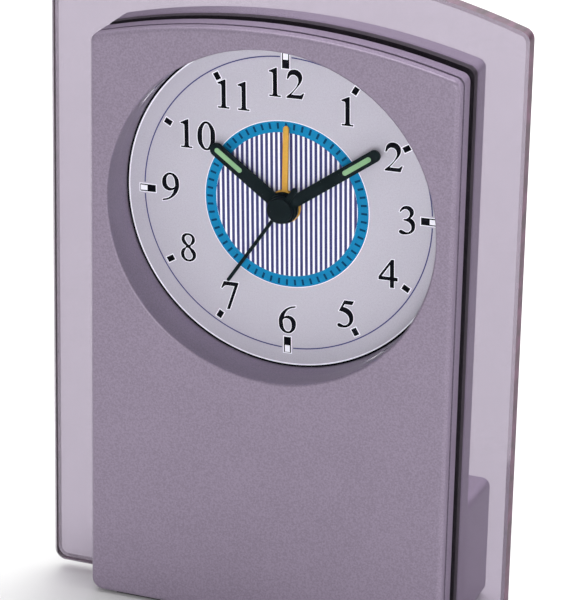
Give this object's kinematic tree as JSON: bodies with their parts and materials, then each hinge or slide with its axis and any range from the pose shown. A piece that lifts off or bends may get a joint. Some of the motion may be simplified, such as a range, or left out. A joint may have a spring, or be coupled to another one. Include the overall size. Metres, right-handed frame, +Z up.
{
  "type": "alarm clock",
  "caption": "Free-standing quartz alarm clock: arched metallic case with recessed round dial, set in a clear arched plate on a foot that holds the battery",
  "frame": {"origin": "bottom centre of the bounding box, on the surface the clock stands on", "axes": "+X right and +Z up as the dial is read, +Y from the dial to the back"},
  "size_m": [0.12, 0.04, 0.1678],
  "materials": {
    "cover": "lilac metallic paint on moulded plastic, fine grain",
    "housing": "lilac metallic paint on moulded plastic, fine grain",
    "clear": "clear acrylic, polished edges",
    "lens_clear": "clear",
    "gasket": "matte black",
    "dial": "light lilac satin",
    "foot": "matte black",
    "steel": "zinc plated",
    "brass": "satin",
    "cell": "printed sleeve over steel",
    "hand_dark": "dark green-black",
    "lume": "pale green luminous",
    "amber": "amber yellow",
    "nylon": "natural nylon",
    "black_plastic": "black moulded",
    "copper": "enamelled copper",
    "board": "green solder mask",
    "ceramic": "white ceramic"
  },
  "bodies": {
    "case": {"front_cover": "cover", "acrylic_plate": "clear", "gasket": "gasket", "dial_plate": "dial", "lens": "lens_clear", "rear_housing": "housing", "case_screws": "steel", "movement_screws": "steel", "back_screws": "steel", "rubber_feet": "foot", "battery_cell": "cell", "contact_positive": "steel", "contact_negative": "steel", "movement_front_plate": "black_plastic", "movement_middle_plate": "black_plastic", "movement_case": "black_plastic", "stator": "steel", "coil_bobbin": "nylon", "coil_winding": "copper", "circuit_board": "board", "chip": "black_plastic", "crystal": "steel", "capacitors": "black_plastic", "switch_contacts": "brass", "sounder_disc": "brass", "sounder_ceramic": "ceramic"},
    "second": {"second_hand": "hand_dark", "second_arbor": "nylon"},
    "third": {"third_wheel": "nylon"},
    "centre": {"centre_wheel": "nylon"},
    "step": {"step_wheel": "nylon"},
    "rotor_body": {"rotor": "black_plastic"},
    "minute": {"minute_hand": "hand_dark", "minute_lume": "lume", "minute_arbor": "nylon"},
    "minute_gear": {"minute_wheel": "nylon"},
    "hour": {"hour_hand": "hand_dark", "hour_lume": "lume", "hour_wheel": "nylon"},
    "alarm": {"alarm_hand": "amber", "alarm_wheel": "nylon"},
    "time_set": {"time_set_knob": "black_plastic", "time_set_arbor": "nylon"},
    "alarm_set": {"alarm_set_knob": "black_plastic", "alarm_set_arbor": "nylon"},
    "door": {"battery_door": "housing"},
    "switch": {"alarm_switch": "black_plastic"}
  },
  "joints": [
    {"name": "second_turn", "type": "hinge", "parent": "case", "child": "second", "pos_m": [0, 0.004, 0.10675], "axis": [0, 1, 0], "continuous": true},
    {"name": "third_turn", "type": "hinge", "parent": "case", "child": "third", "pos_m": [0, 0.004, 0.11593], "axis": [0, 1, 0], "continuous": true},
    {"name": "centre_turn", "type": "hinge", "parent": "case", "child": "centre", "pos_m": [0, 0.004, 0.10675], "axis": [0, 1, 0], "continuous": true},
    {"name": "step_turn", "type": "hinge", "parent": "case", "child": "step", "pos_m": [0, 0.004, 0.09751], "axis": [0, 1, 0], "continuous": true},
    {"name": "rotor_turn", "type": "hinge", "parent": "case", "child": "rotor_body", "pos_m": [0, 0.004, 0.09127], "axis": [0, 1, 0], "continuous": true},
    {"name": "time_set_turn", "type": "hinge", "parent": "case", "child": "time_set", "pos_m": [-0.01127, 0.004, 0.10239], "axis": [0, 1, 0], "continuous": true},
    {"name": "minute_gear_turn", "type": "hinge", "parent": "case", "child": "minute_gear", "pos_m": [-0.00727, 0.004, 0.11095], "axis": [0, 1, 0], "continuous": true},
    {"name": "minute_turn", "type": "hinge", "parent": "case", "child": "minute", "pos_m": [0, 0.004, 0.10675], "axis": [0, 1, 0], "continuous": true},
    {"name": "hour_turn", "type": "hinge", "parent": "case", "child": "hour", "pos_m": [0, 0.004, 0.10675], "axis": [0, 1, 0], "continuous": true},
    {"name": "alarm_set_turn", "type": "hinge", "parent": "case", "child": "alarm_set", "pos_m": [0.01127, 0.004, 0.10239], "axis": [0, 1, 0], "continuous": true},
    {"name": "alarm_turn", "type": "hinge", "parent": "case", "child": "alarm", "pos_m": [0, 0.004, 0.10675], "axis": [0, 1, 0], "continuous": true},
    {"name": "door_slide", "type": "slide", "parent": "case", "child": "door", "axis": [0, 0, 1], "range_m": [0, 0.022]},
    {"name": "switch_slide", "type": "slide", "parent": "case", "child": "switch", "axis": [1, 0, 0], "range_m": [0, 0.004]}
  ],
  "couplings": [
    {"joint": "third_turn", "follows": "second_turn", "ratio": -0.13333},
    {"joint": "centre_turn", "follows": "second_turn", "ratio": 0.016667},
    {"joint": "step_turn", "follows": "second_turn", "ratio": -6},
    {"joint": "rotor_turn", "follows": "second_turn", "ratio": 30},
    {"joint": "minute_gear_turn", "follows": "time_set_turn", "ratio": -0.5},
    {"joint": "minute_turn", "follows": "time_set_turn", "ratio": 1.5},
    {"joint": "hour_turn", "follows": "time_set_turn", "ratio": 0.125},
    {"joint": "alarm_turn", "follows": "alarm_set_turn", "ratio": -0.6}
  ]
}
